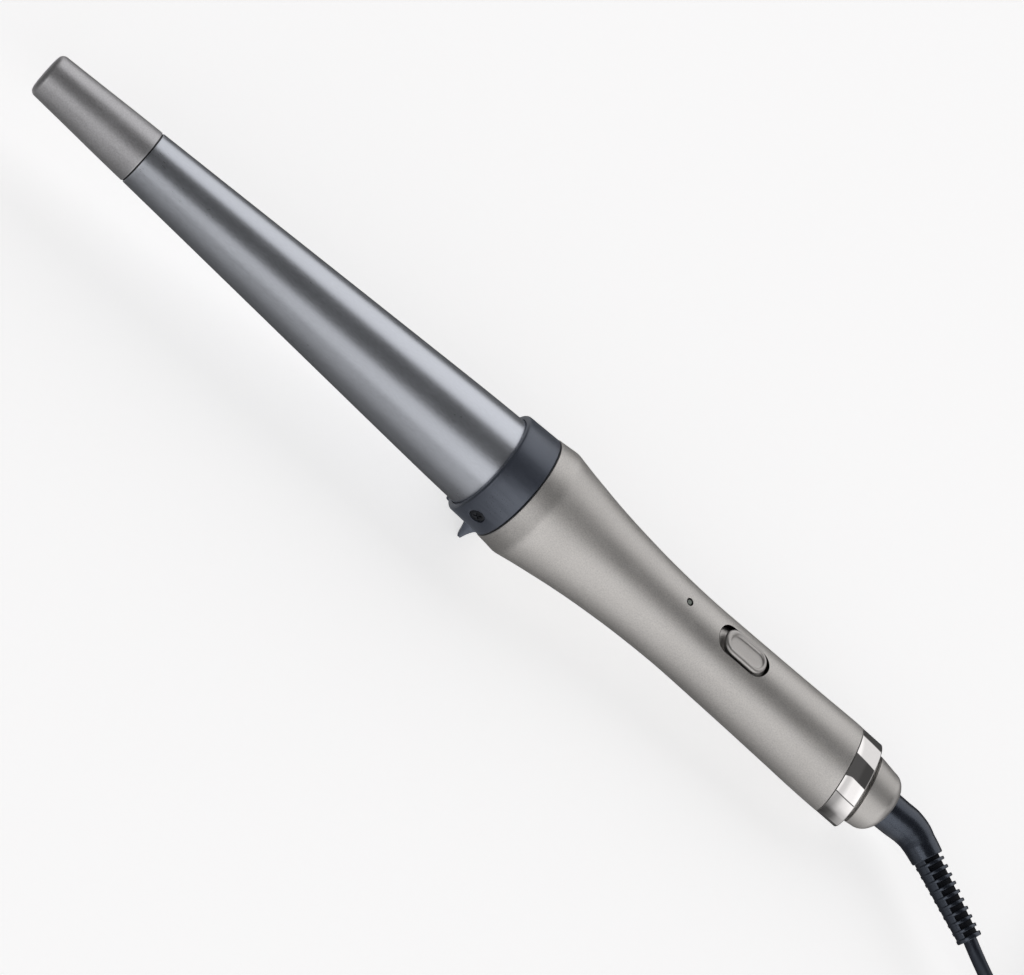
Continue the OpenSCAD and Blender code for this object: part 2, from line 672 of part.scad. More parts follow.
cool_tip();
tip_insulator();
tip_screw();
barrel();
heater_block_upper();
heater_block_lower();
ptc_heater();
mica_sheets();
heater_clips();
thermistor();
thermal_fuse();
heater_leads();
collar();
collar_screws();
safety_stand();
stand_pin();
barrel_seat();
heat_shield();
seat_screws();
handle_shell();
chassis();
board_screws();
circuit_board();
board_components();
led();
light_pipe();
switch_housing();
switch_actuator();
switch_knob();
supply_wires();
chrome_ring();
end_cap();
swivel_housing();
swivel_brushes();
swivel_rotor();
slip_rings();
swivel_clip();
cord_boot();
power_cord();
cord_hank();
cord_tail();
hank_tie();
plug_body();
plug_pins();
plug_sleeves();
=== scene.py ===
import json
import math

import bmesh
import bpy
import numpy as np
from mathutils import Matrix, Vector
from mathutils.geometry import delaunay_2d_cdt


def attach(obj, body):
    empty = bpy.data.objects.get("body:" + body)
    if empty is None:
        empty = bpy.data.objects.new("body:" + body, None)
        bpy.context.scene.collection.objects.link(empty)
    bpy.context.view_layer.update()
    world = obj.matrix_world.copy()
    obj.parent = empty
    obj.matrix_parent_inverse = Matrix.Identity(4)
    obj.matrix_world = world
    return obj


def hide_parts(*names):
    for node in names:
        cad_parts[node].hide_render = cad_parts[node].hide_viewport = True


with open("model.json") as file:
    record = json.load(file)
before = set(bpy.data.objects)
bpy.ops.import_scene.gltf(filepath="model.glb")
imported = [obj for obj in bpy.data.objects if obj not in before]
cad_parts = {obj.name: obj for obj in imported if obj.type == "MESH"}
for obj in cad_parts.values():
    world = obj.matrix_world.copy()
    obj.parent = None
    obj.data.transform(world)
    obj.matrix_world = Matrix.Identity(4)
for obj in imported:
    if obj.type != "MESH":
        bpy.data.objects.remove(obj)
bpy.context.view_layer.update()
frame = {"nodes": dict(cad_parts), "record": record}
scene = bpy.context.scene

# ------------------------------------------------------------------ the frame
# The wand is drawn along its own axis in millimetres (x to the cord, z to the
# switch side) and laid down as the CAD lays it: tilted, then set on the floor.
TILT = math.radians(2.5)
CT, ST = math.cos(TILT), math.sin(TILT)
REST_X, REST_Z = 10.6, 20.98
SLANT = math.tan(math.radians(19.3))


def turn(v):
    v = np.asarray(v, float)
    return np.stack([v[..., 0] * CT + v[..., 2] * ST, v[..., 1], v[..., 2] * CT - v[..., 0] * ST], -1)


def laid(p):
    """Points of the wand in millimetres, as points of the row frame in metres."""
    return (turn(p) + np.array([REST_X, 0, REST_Z])) / 1000


# ----------------------------------------------------------------- the camera
phi, yaw, dist = math.radians(37.5), math.radians(15.3), 733.9
toward = np.array([0, -math.sin(phi), math.cos(phi)])
aside = np.array([0, math.cos(phi), math.sin(phi)])
eye = dist * (-math.sin(yaw) * np.array([1, 0, 0]) + math.cos(yaw) * toward)
look = -eye / dist - 4.3 / 2490 * aside
look /= np.linalg.norm(look)
along = math.cos(yaw) * np.array([1, 0, 0]) + math.sin(yaw) * toward
across = aside + 4.3 / 2490 * (-eye / dist)
across /= np.linalg.norm(across)
cam_x = 0.75121 * along + 0.66007 * across
cam_y = -0.66007 * along + 0.75121 * across
cam = bpy.data.objects.new("photo_camera", bpy.data.cameras.new("photo_camera"))
scene.collection.objects.link(cam)
cam.data.sensor_width = 36
cam.data.lens = 2490 / 1024 * 36
cam.data.clip_start, cam.data.clip_end = 0.02, 60
X, Y, Z = turn(cam_x), turn(cam_y), turn(-look)
e = laid(eye)
cam.matrix_world = Matrix((
    (X[0], Y[0], Z[0], e[0]), (X[1], Y[1], Z[1], e[1]), (X[2], Y[2], Z[2], e[2]), (0, 0, 0, 1)))
scene.camera = cam
scene.view_settings.view_transform = "Standard"
scene.view_settings.look = "None"

# ------------------------------------------------------------------ materials


def nodes_of(name):
    m = bpy.data.materials.new(name)
    m.use_nodes = True
    t = m.node_tree
    t.nodes.clear()
    out = t.nodes.new("ShaderNodeOutputMaterial")
    b = t.nodes.new("ShaderNodeBsdfPrincipled")
    t.links.new(b.outputs[0], out.inputs[0])
    return m, t, b


def noise_of(t, coord, scale, detail=3.0, stretch=(1, 1, 1), rough=0.55):
    mp = t.nodes.new("ShaderNodeMapping")
    mp.inputs["Scale"].default_value = stretch
    t.links.new(coord, mp.inputs["Vector"])
    n = t.nodes.new("ShaderNodeTexNoise")
    n.inputs["Scale"].default_value = scale
    n.inputs["Detail"].default_value = detail
    n.inputs["Roughness"].default_value = rough
    t.links.new(mp.outputs[0], n.inputs["Vector"])
    return n.outputs[0]


def spread(t, value, lo, hi, a=0.3, b=0.7):
    r = t.nodes.new("ShaderNodeMapRange")
    for k, v in ((1, a), (2, b), (3, lo), (4, hi)):
        r.inputs[k].default_value = v
    t.links.new(value, r.inputs[0])
    return r.outputs[0]


def tinted(t, fac, dark, light):
    mx = t.nodes.new("ShaderNodeMix")
    mx.data_type = "RGBA"
    mx.inputs[6].default_value = (*dark, 1)
    mx.inputs[7].default_value = (*light, 1)
    t.links.new(fac, mx.inputs[0])
    return mx.outputs[2]


def surface(name, base, metallic, rough, *, vary=0.06, rough_vary=0.05, grain=4000, stretch=(1, 1, 1),
            bump=0.0, cloud=60.0, cloud_vary=0.03, ior=1.5, coat=0.0, coat_rough=0.1, spec=0.5, sheen=0.0,
            bump_mm=0.02, aniso=0.0, tint=None):
    """A surface whose colour and roughness vary with a fine grain and a broad cloud, with a matching bump."""
    m, t, b = nodes_of(name)
    tc = t.nodes.new("ShaderNodeTexCoord").outputs["Object"]
    fine = noise_of(t, tc, grain, 2.5, stretch)
    broad = noise_of(t, tc, cloud, 3.0)
    base = np.array(base, float)
    c_fine = tinted(t, spread(t, fine, 0, 1), np.clip(base * (1 - vary), 0, 1), np.clip(base * (1 + vary), 0, 1))
    mul = t.nodes.new("ShaderNodeMix")
    mul.data_type = "RGBA"
    mul.blend_type = "MULTIPLY"
    mul.inputs[0].default_value = 1
    t.links.new(c_fine, mul.inputs[6])
    t.links.new(tinted(t, spread(t, broad, 0, 1), [1 - cloud_vary] * 3, [1.0] * 3), mul.inputs[7])
    t.links.new(mul.outputs[2], b.inputs["Base Color"])
    add = t.nodes.new("ShaderNodeMath")
    add.operation = "ADD"
    t.links.new(spread(t, fine, rough - rough_vary, rough + rough_vary), add.inputs[0])
    t.links.new(spread(t, broad, -rough_vary / 2, rough_vary / 2), add.inputs[1])
    t.links.new(add.outputs[0], b.inputs["Roughness"])
    b.inputs["Metallic"].default_value = metallic
    b.inputs["IOR"].default_value = ior
    b.inputs["Specular IOR Level"].default_value = spec
    b.inputs["Coat Weight"].default_value = coat
    b.inputs["Coat Roughness"].default_value = coat_rough
    b.inputs["Sheen Weight"].default_value = sheen
    if aniso:
        b.inputs["Anisotropic"].default_value = aniso
    if tint:
        b.inputs["Specular Tint"].default_value = (*tint, 1)
        b.inputs["Sheen Tint"].default_value = (*tint, 1)
    if bump:
        bp = t.nodes.new("ShaderNodeBump")
        bp.inputs["Strength"].default_value = bump
        bp.inputs["Distance"].default_value = bump_mm / 1000
        t.links.new(fine, bp.inputs["Height"])
        t.links.new(bp.outputs[0], b.inputs["Normal"])
    return m


MAT = {
    "handle_finish": surface("handle_finish", (0.715, 0.70, 0.68), 0.92, 0.47, vary=0.15, rough_vary=0.06,
                             grain=2500, bump=0.3, bump_mm=0.03, cloud_vary=0.03),
    "knob_plastic": surface("knob_plastic", (0.62, 0.605, 0.59), 0.92, 0.44, vary=0.08, grain=3000, bump=0.2),
    "cap_plastic": surface("cap_plastic", (0.64, 0.625, 0.605), 0.92, 0.42, vary=0.09, grain=2800, bump=0.2),
    "tip_plastic": surface("tip_plastic", (0.64, 0.64, 0.66), 0.82, 0.41, vary=0.14, rough_vary=0.07,
                           grain=2400, bump=0.35, bump_mm=0.03),
    "barrel_coating": surface("barrel_coating", (0.675, 0.71, 0.775), 0.95, 0.31, vary=0.045, rough_vary=0.03,
                              grain=2600, stretch=(0.25, 1, 1), bump=0.12, bump_mm=0.01, cloud_vary=0.02),
    "collar_plastic": surface("collar_plastic", (0.036, 0.043, 0.063), 0.0, 0.36, ior=2.2, vary=0.14, rough_vary=0.08,
                              grain=2600, bump=0.4, bump_mm=0.03, tint=(0.78, 0.86, 1.0), sheen=0.3),
    "mirror_ring": surface("mirror_ring", (0.90, 0.885, 0.88), 1.0, 0.035, vary=0.01, rough_vary=0.012,
                           grain=900, cloud_vary=0.01),
    "cord_rubber": surface("cord_rubber", (0.008, 0.010, 0.018), 0.0, 0.40, vary=0.15, rough_vary=0.08,
                           grain=2600, bump=0.35, bump_mm=0.03, ior=1.8, tint=(0.72, 0.82, 1.0)),
    "boot_rubber": surface("boot_rubber", (0.007, 0.009, 0.016), 0.0, 0.29, vary=0.12, rough_vary=0.08,
                           grain=3000, bump=0.3, bump_mm=0.03, ior=2.0, tint=(0.72, 0.82, 1.0)),
    "boot_recess": surface("boot_recess", (0.009, 0.011, 0.017), 0.0, 0.8, vary=0.12, grain=3000, bump=0.2,
                           ior=1.35),
    "tie_rubber": surface("tie_rubber", (0.02, 0.02, 0.024), 0.0, 0.6, vary=0.2, grain=1500,
                          stretch=(1, 0.3, 1), bump=0.6, bump_mm=0.08),
    "black_plastic": surface("black_plastic", (0.022, 0.022, 0.026), 0.0, 0.45, vary=0.15, grain=3000, bump=0.3),
    "frame_plastic": surface("frame_plastic", (0.05, 0.052, 0.056), 0.0, 0.5, vary=0.12, grain=2400, bump=0.4),
    "seat_plastic": surface("seat_plastic", (0.06, 0.052, 0.046), 0.0, 0.6, vary=0.2, grain=2000, bump=0.5),
    "steel": surface("steel", (0.62, 0.62, 0.63), 1.0, 0.28, vary=0.05, rough_vary=0.1, grain=1800,
                     stretch=(1, 6, 1), bump=0.2, bump_mm=0.01),
    "dark_steel": surface("dark_steel", (0.05, 0.055, 0.065), 0.8, 0.34, vary=0.1, rough_vary=0.08, grain=2500,
                          bump=0.3),
    "heater_aluminium": surface("heater_aluminium", (0.70, 0.70, 0.70), 1.0, 0.34, vary=0.06, grain=1400,
                                stretch=(0.1, 1, 1), bump=0.4, bump_mm=0.02),
    "heater_ceramic": surface("heater_ceramic", (0.34, 0.17, 0.05), 0.0, 0.55, vary=0.15, grain=1600, bump=0.4),
    "mica": surface("mica", (0.55, 0.47, 0.33), 0.1, 0.3, vary=0.2, grain=700, bump=0.3, cloud_vary=0.15),
    "sensor_glass": surface("sensor_glass", (0.45, 0.14, 0.03), 0.0, 0.15, vary=0.1, grain=1500, coat=0.3),
    "fuse_ceramic": surface("fuse_ceramic", (0.70, 0.67, 0.60), 0.0, 0.45, vary=0.06, grain=1500, bump=0.3),
    "silicone_wire": surface("silicone_wire", (0.42, 0.02, 0.012), 0.0, 0.42, vary=0.1, grain=2200, bump=0.3),
    "blue_wire": surface("blue_wire", (0.01, 0.03, 0.20), 0.0, 0.42, vary=0.1, grain=2200, bump=0.3),
    "board_green": surface("board_green", (0.012, 0.10, 0.035), 0.0, 0.28, vary=0.25, grain=900, coat=0.3),
    "component_black": surface("component_black", (0.02, 0.02, 0.022), 0.0, 0.4, vary=0.2, grain=2200, bump=0.3),
    "led_plastic": surface("led_plastic", (0.20, 0.55, 0.26), 0.0, 0.12, vary=0.05, grain=800, coat=0.4),
    "lens_clear": surface("lens_clear", (0.23, 0.27, 0.24), 0.0, 0.22, vary=0.1, grain=2500, coat=0.3),
    "switch_black": surface("switch_black", (0.02, 0.02, 0.021), 0.0, 0.35, vary=0.15, grain=2500, bump=0.2),
    "switch_white": surface("switch_white", (0.66, 0.66, 0.63), 0.0, 0.4, vary=0.05, grain=2500, bump=0.2),
    "brush_copper": surface("brush_copper", (0.62, 0.30, 0.14), 1.0, 0.4, vary=0.12, grain=1800, bump=0.3),
    "slip_brass": surface("slip_brass", (0.80, 0.58, 0.24), 1.0, 0.16, vary=0.06, grain=1500,
                          stretch=(4, 1, 1), bump=0.2, bump_mm=0.01),
    "pin_nickel": surface("pin_nickel", (0.72, 0.70, 0.65), 1.0, 0.18, vary=0.04, rough_vary=0.06, grain=1500,
                          stretch=(0.2, 1, 1), bump=0.15, bump_mm=0.01),
}

node_slot = {s["node"]: s["material_slot"] for s in frame["record"]["subparts"]}
for name, obj in frame["nodes"].items():
    obj.data.materials.clear()
    obj.data.materials.append(MAT[node_slot[name]])

# -------------------------------------------------------------------- helpers


def smooth_line(points, n):
    """Points on a smooth curve through the given ones, n steps between each pair."""
    p = [np.array(q, float) for q in points]
    out = []
    for i in range(len(p) - 1):
        a, b, c, d = p[max(i - 1, 0)], p[i], p[i + 1], p[min(i + 2, len(p) - 1)]
        for k in range(n):
            s = k / n
            out.append(0.5 * (2 * b + (c - a) * s + (2 * a - 5 * b + 4 * c - d) * s * s
                              + (3 * b - a - 3 * c + d) * s ** 3))
    out.append(p[-1])
    return np.array(out)


def arc(cx, cr, r, a0, a1, n):
    """Part of a round corner in a profile: angle 0 points along +x, 90 outwards."""
    return [(cx + r * math.cos(math.radians(a)), cr + r * math.sin(math.radians(a)))
            for a in np.linspace(a0, a1, n)]


def make(name, verts, faces, mat, body=None, replaces=(), sharp=30, mm=True, wand=True):
    """A mesh piece from points in millimetres, in the wand's own axes or the row frame's."""
    verts = np.asarray(verts, float)
    if mm:
        verts = laid(verts) if wand else verts / 1000
    me = bpy.data.meshes.new(name)
    me.from_pydata([tuple(v) for v in verts], [], [tuple(int(i) for i in f) for f in faces])
    bm = bmesh.new()
    bm.from_mesh(me)
    bmesh.ops.remove_doubles(bm, verts=bm.verts, dist=1e-7)
    bmesh.ops.recalc_face_normals(bm, faces=bm.faces)
    bm.to_mesh(me)
    bm.free()
    o = bpy.data.objects.new(name, me)
    scene.collection.objects.link(o)
    me.materials.append(MAT[mat] if isinstance(mat, str) else mat)
    finish_shading(o, sharp)
    if body:
        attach(o, body)
    if replaces:
        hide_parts(*replaces)
    return o


def finish_shading(o, sharp=30):
    me = o.data
    me.shade_smooth()
    me.set_sharp_from_angle(angle=math.radians(sharp))


def grid_faces(m, n, wrap_j=True, wrap_i=False):
    out = []
    for i in range(m if wrap_i else m - 1):
        for j in range(n if wrap_j else n - 1):
            a, b = i * n + j, i * n + (j + 1) % n
            c, d = ((i + 1) % m) * n + (j + 1) % n, ((i + 1) % m) * n + j
            out.append((a, b, c, d))
    return out


def turned(profile, seg=160, closed=True):
    """Solid of revolution about the wand's axis. Profile points are (x, r) or (x, r, k), where k leans the
    station with height: x + k z, for the slanted joints."""
    ang = np.linspace(0, 2 * np.pi, seg, endpoint=False)
    v = []
    for p in profile:
        x, r, k = (*p, 0)[:3]
        z = r * np.cos(ang)
        v.append(np.stack([x + k * z, r * np.sin(ang), z], 1))
    v = np.concatenate(v)
    m = len(profile)
    f = grid_faces(m, seg, wrap_i=closed and (profile[0][1] > 0 or profile[-1][1] > 0))
    return v, f


def swept(path, radius, sides, up=(0, 0, 1)):
    """Tube along a path; radius is a number per ring, or a function (ring, angles) giving one per point."""
    p = np.asarray(path, float)
    m = len(p)
    t = np.gradient(p, axis=0)
    t /= np.linalg.norm(t, axis=1)[:, None]
    s = np.cross(t, np.array(up, float))
    s /= np.linalg.norm(s, axis=1)[:, None]
    u = np.cross(s, t)
    ang = np.linspace(0, 2 * np.pi, sides, endpoint=False)
    v = []
    for i in range(m):
        r = radius(i, ang) if callable(radius) else np.full(sides, radius[i])
        v.append(p[i] + r[:, None] * (np.cos(ang)[:, None] * s[i] + np.sin(ang)[:, None] * u[i]))
    v = np.concatenate(v)
    f = grid_faces(m, sides)
    f.append(tuple(range(sides))[::-1])
    f.append(tuple((m - 1) * sides + j for j in range(sides)))
    return v, f


def cut(o, *cutters):
    """Takes the cutters' solids away from o's mesh."""
    for c in cutters:
        md = o.modifiers.new("cut", "BOOLEAN")
        md.operation, md.object, md.solver = "DIFFERENCE", c, "EXACT"
    dg = bpy.context.evaluated_depsgraph_get()
    me = bpy.data.meshes.new_from_object(o.evaluated_get(dg))
    old = o.data
    o.modifiers.clear()
    o.data = me
    me.name = o.name
    bpy.data.meshes.remove(old)
    for c in cutters:
        bpy.data.objects.remove(c)


def tool(verts, faces, wand=True):
    o = make("tool", verts, faces, "steel", wand=wand)
    return o


def prism(outline, lo, hi, at):
    """Closed prism from a flat outline; at(u, v, w) places outline point (u, v) at height w."""
    n = len(outline)
    v = [at(a, b, lo) for a, b in outline] + [at(a, b, hi) for a, b in outline]
    f = [tuple(range(n))[::-1], tuple(range(n, 2 * n))]
    f += [(i, (i + 1) % n, n + (i + 1) % n, n + i) for i in range(n)]
    return v, f


def obround(length, width, inset=0.0, n=24, squareness=1.0):
    """Outline of a slot shape, counterclockwise, shrunk by inset."""
    r = width / 2 - inset
    c = (length - width) / 2
    pts = []
    for k in range(n + 1):
        a = -math.pi / 2 + math.pi * k / n
        pts.append((c + r * math.cos(a), r * math.sin(a)))
    for k in range(n + 1):
        a = math.pi / 2 + math.pi * k / n
        pts.append((-c + r * math.cos(a), r * math.sin(a)))
    return pts


def union_meshes(parts):
    """Several meshes' points and faces as one."""
    v, f, n = [], [], 0
    for a, b in parts:
        v.append(np.asarray(a, float))
        f += [tuple(i + n for i in q) for q in b]
        n += len(a)
    return np.concatenate(v), f


def block(lo, hi):
    v = [(x, y, z) for x in (lo[0], hi[0]) for y in (lo[1], hi[1]) for z in (lo[2], hi[2])]
    f = [(0, 1, 3, 2), (4, 6, 7, 5), (0, 4, 5, 1), (2, 3, 7, 6), (0, 2, 6, 4), (1, 5, 7, 3)]
    return np.array(v, float), f


def soften(o, width, segments=2, angle=35):
    """Rounds a mesh's sharp edges and applies it."""
    md = o.modifiers.new("round", "BEVEL")
    md.width, md.segments, md.limit_method, md.angle_limit = width / 1000, segments, "ANGLE", math.radians(angle)
    md.harden_normals = False
    dg = bpy.context.evaluated_depsgraph_get()
    me = bpy.data.meshes.new_from_object(o.evaluated_get(dg))
    old = o.data
    o.modifiers.clear()
    o.data = me
    me.name = o.name
    bpy.data.meshes.remove(old)
    finish_shading(o, 32)


# ------------------------------------------------------------ the mains lead
# The same route points as the CAD's, in millimetres.
RIB_START, RIB_END = np.array([180.25, -6.05, 2.3]), np.array([201.7, -20.4, 5.25])
CORD_D = 4.4
lead_line = [[216.3, -23.2, 17.4], [222.35, -25.95, 16.3], [230.55, -28.1, 14], [240.8, -29.05, 10.55],
             [251.2, -29.05, 7.1], [261.3, -28.4, 4.4], [272, -27.4, 2.9]]
tail_line = [[340, -27.4, 16.1], [349, -27.2, 15.3], [358, -25.4, 13], [367, -21.6, 10.2],
             [375, -17, 8.2], [382, -13.2, 7.2], [389, -11.2, 6.9], [396, -11, 6.9]]
HX0, HX1, HY, HZ = 272.0, 340.0, -9.5, 0.7
FOLD = {1: 13.5, 2: 13.5 + CORD_D}
cells = [(2, 1), (1, 1), (1, 2), (2, 2), (2, 3), (1, 3), (1, 4), (2, 4)]


def cell(c):
    return np.array([FOLD[c[0]], HZ + CORD_D * (c[1] - 0.5)])


hank = []
for i in range(8):
    r, z = cell(cells[i])
    for x in np.linspace(HX0, HX1, 12)[0 if i == 0 else 1:]:
        hank.append([x, HY - r, z])
    if i == 7:
        break
    for a in np.linspace(-90, 90, 19)[1:]:
        hank.append([HX1 + r * math.cos(math.radians(a)), HY + r * math.sin(math.radians(a)), z])
    # the step to the next cell, on the far run and round the near fold
    start = 12.0 * (6 - i)
    nxt = cell(cells[i + 1])
    for s in list(np.linspace(0, 68, 18)[1:]) + list(68 + np.linspace(0, 49.3, 19)[1:]):
        q = min(max((s - start) / 34, 0), 1)
        q = q * q * (3 - 2 * q)
        rr, zz = (1 - q) * np.array([r, z]) + q * nxt
        if s <= 68:
            hank.append([HX1 - s, HY + rr, zz])
        else:
            a = math.radians(90 + 180 * (s - 68) / 49.3)
            hank.append([HX0 + rr * math.cos(a), HY + rr * math.sin(a), zz])

inside_boot = [laid(RIB_START + (RIB_END - RIB_START) * q) * 1000 for q in (0.8, 0.9, 1.0)]
first = smooth_line(inside_boot + lead_line, 8)
route = np.concatenate([first[:-1], np.array(hank)[:-1], smooth_line(tail_line, 8)]) / 1000
curve = bpy.data.curves.new("mains_lead", "CURVE")
curve.dimensions = "3D"
sp = curve.splines.new("POLY")
sp.points.add(len(route) - 1)
sp.points.foreach_set("co", np.concatenate([route, np.ones((len(route), 1))], 1).ravel())
curve.bevel_depth = CORD_D / 2000
curve.bevel_resolution = 7
curve.use_fill_caps = True
curve.materials.append(MAT["cord_rubber"])
lead = bpy.data.objects.new("mains_lead", curve)
scene.collection.objects.link(lead)
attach(lead, "swivel")
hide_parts("power_cord", "cord_hank", "cord_tail")
lead_length = float(np.linalg.norm(np.diff(route, axis=0), axis=1).sum())
print("lead length", round(lead_length, 4))

# ---------------------------------------------------------------------- boot
SMOOTH_END = np.array([178.5, -4.91, 2.13])
boot_path_w = np.concatenate([
    smooth_line([[156.4, 0, 0], [160, 0.2, 0.15], [163.9, 0.17, 0.35], [167.65, 0.03, 0.87], [171.2, -0.86, 1.34],
                 [174.15, -2.25, 1.55], [176.15, -3.4, 1.82], SMOOTH_END], 10)[:-1],
    SMOOTH_END + (RIB_END - SMOOTH_END) * np.linspace(0, 1, 330)[:, None]])
smooth_n = 70
boot_r = np.interp(np.arange(smooth_n), np.arange(0, 71, 10), [6.4, 6.35, 6.27, 6.15, 5.84, 5.44, 5.34, 5.18])
boot_path = laid(boot_path_w) * 1000
bt = np.gradient(boot_path, axis=0)
bt /= np.linalg.norm(bt, axis=1)[:, None]
rib_len = float(np.linalg.norm(RIB_END - SMOOTH_END))
first_rib = float(np.linalg.norm(RIB_START - SMOOTH_END))
PITCH = 0.1083 * float(np.linalg.norm(RIB_END - RIB_START))
RIBS = 9


def step(x, w):
    q = np.clip(x / w + 0.5, 0, 1)
    return q * q * (3 - 2 * q)


def boot_radius(i, ang):
    if i < smooth_n:
        return np.full(len(ang), boot_r[i])
    s = (i - smooth_n) / 329 * rib_len
    if s < 0.35:
        return np.full(len(ang), 5.16 - 0.35 * (s / 0.35) ** 3)
    ridge = np.interp(s, [first_rib, rib_len], [4.76, 3.94])  # rib tops
    core = np.interp(s, [0, rib_len], [2.3, 2.2])
    k = np.clip(round((s - first_rib) / PITCH), 0, RIBS)
    off = abs(s - first_rib - k * PITCH)
    half = 0.74 if k == RIBS else 0.60
    if k == RIBS:
        ridge += 0.12
    on = 1 - step(np.array(off - half), 0.22)
    top = ridge - 0.14 * min(off / half, 1.2) ** 4
    deg = np.degrees(ang) % 360
    # one spine along each side, a little off opposite
    near, far = np.minimum(deg, 360 - deg), np.abs(deg - 213)
    closed = 1 - step(np.where(near < far, near - 33, far - 29), 6)
    spine_r = np.interp(s, [first_rib, rib_len], [4.76, 3.94]) - np.where(near < far, 0.09, 0.7)
    rad = core + (top - core) * on
    return np.maximum(rad, core + (spine_r - core) * closed)


v, f = swept(boot_path, boot_radius, 160)
boot = make("cord_boot_rubber", v, f, "boot_rubber", "swivel", ["cord_boot"], sharp=40, wand=False)
core_path = boot_path[smooth_n - 4:smooth_n + 326:6]
v, f = swept(core_path, np.linspace(3.7, 3.15, len(core_path)), 64)
boot_core = make("cord_boot_core", v, f, "boot_recess", "swivel", sharp=60, wand=False)

# -------------------------------------------------------------- tip and barrel
SEAM, TIP_REAR, TIP_FRONT = -143.4, -143.8, -178.8
tip_profile = (
    [(TIP_FRONT, 0), (TIP_FRONT + 0.02, 1.6), (TIP_FRONT + 0.08, 3.6), (TIP_FRONT + 0.2, 5.0)]
    + arc(TIP_FRONT + 2.1, 7.0 - 1.8, 1.8, 176, 94, 14)
    + [(q[0], q[1]) for q in smooth_line(
        [[-176.5, 7.03], [-174.4, 7.15], [-168.8, 7.45], [-161.9, 7.84], [-153.8, 8.31], [-145.6, 8.73]], 8)]
    + [(TIP_REAR - 0.35, 8.77)] + arc(TIP_REAR - 0.22, 8.58, 0.20, 70, 0, 5)
    + [(TIP_REAR, 7.02), (TIP_REAR - 6.2, 7.02), (TIP_REAR - 6.2, 6.6), (TIP_FRONT + 2.6, 5.4), (TIP_FRONT + 2.6, 0)]
)
v, f = turned(tip_profile, 144, closed=False)
tip = make("tip_cover", v, f, "tip_plastic", "wand", ["cool_tip"], sharp=35)

bl = smooth_line([[0, 0], [0.23, 0.235], [0.47, 0.485], [0.71, 0.733], [0.89, 0.913], [1, 1]], 24)
outer = [(SEAM + 133 * a, 8.8 + 7.0 * b) for a, b in bl]
barrel_profile = (
    arc(SEAM + 0.15, 8.65, 0.15, 180, 95, 5) + [p for p in outer if p[0] > SEAM + 0.3]
    + [(-9, 15.9), (5, 15.9), (5, 14.8), (-9, 14.8)]
    + [(p[0], p[1] - 1.1) for p in outer[::-6] if SEAM + 2 < p[0] < -11]
    + [(SEAM + 1.5, 7.75), (SEAM + 1.5, 1.6), (SEAM, 1.6)]
)
v, f = turned(barrel_profile, 192)
barrel = make("heated_barrel", v, f, "barrel_coating", "wand", ["barrel"], sharp=28)

# -------------------------------------------------------------------- handle
handle_line = [
    [1.6, 18.5], [5, 18.78], [7.4, 19.05], [8.6, 19.08], [9.8, 18.92], [11.6, 18.6], [14.4, 18.1], [17.5, 17.6],
    [20.6, 17.14], [25, 16.48], [30, 15.81], [36, 15.13], [42.5, 14.53], [49, 14], [55, 13.65], [61.5, 13.38],
    [68, 13.2], [74.5, 13.18], [81, 13.27], [87.5, 13.38], [94, 13.5], [100.5, 13.62], [107, 13.76],
    [113.5, 13.92], [120, 14.07], [127, 14.28], [133.5, 14.4], [139, 14.4], [144.5, 14.4]]
hl = smooth_line(handle_line, 8)
WALL = 1.6
SLOT_X, SLOT_L, SLOT_W = 84.8, 19.6, 9.0
LIGHT_X, LIGHT_D = 61.6, 2.2
SEG = 192
STEP_A = 2 * math.pi / SEG
SPAN = 14
PATCH = (57.0, 97.0)


def handle_r(x):
    return np.interp(x, hl[:, 0], hl[:, 1])


def handle_slope(x):
    return (handle_r(x + 0.4) - handle_r(x - 0.4)) / 0.8


def inside_obround(x, y, cx, length, width):
    c = (length - width) / 2
    return np.hypot(np.maximum(np.abs(x - cx) - c, 0), y) < width / 2


class Build:
    """Points with their own normals, and faces with one normal per corner."""

    def __init__(self):
        self.v, self.f, self.n = [], [], []

    def add(self, points, normals, faces):
        k = len(self.v)
        self.v += [tuple(p) for p in points]
        for q in faces:
            self.f.append(tuple(int(i) + k for i in q))
            self.n.append([tuple(normals[int(i)]) for i in q])

    def finish(self, name, mat, body, replaces):
        verts = laid(np.array(self.v))
        me = bpy.data.meshes.new(name)
        me.from_pydata([tuple(p) for p in verts], [], self.f)
        me.shade_smooth()
        flat = np.array([q for face in self.n for q in face])
        flat /= np.linalg.norm(flat, axis=1)[:, None] + 1e-12
        me.normals_split_custom_set([tuple(q) for q in turn(flat)])
        o = bpy.data.objects.new(name, me)
        scene.collection.objects.link(o)
        me.materials.append(MAT[mat])
        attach(o, body)
        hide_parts(*replaces)
        return o


def rev_normals(profile, seg, sign=1.0):
    """Smooth normals of a turned surface, from the profile's own direction."""
    p = np.array([(q[0], q[1]) for q in profile], float)
    d = np.gradient(p, axis=0)
    d /= np.linalg.norm(d, axis=1)[:, None] + 1e-12
    ang = np.linspace(0, 2 * np.pi, seg, endpoint=False)
    out = []
    for i in range(len(p)):
        out.append(np.stack([np.full(seg, -d[i, 1]), d[i, 0] * np.sin(ang), d[i, 0] * np.cos(ang)], 1) * sign)
    return np.concatenate(out)


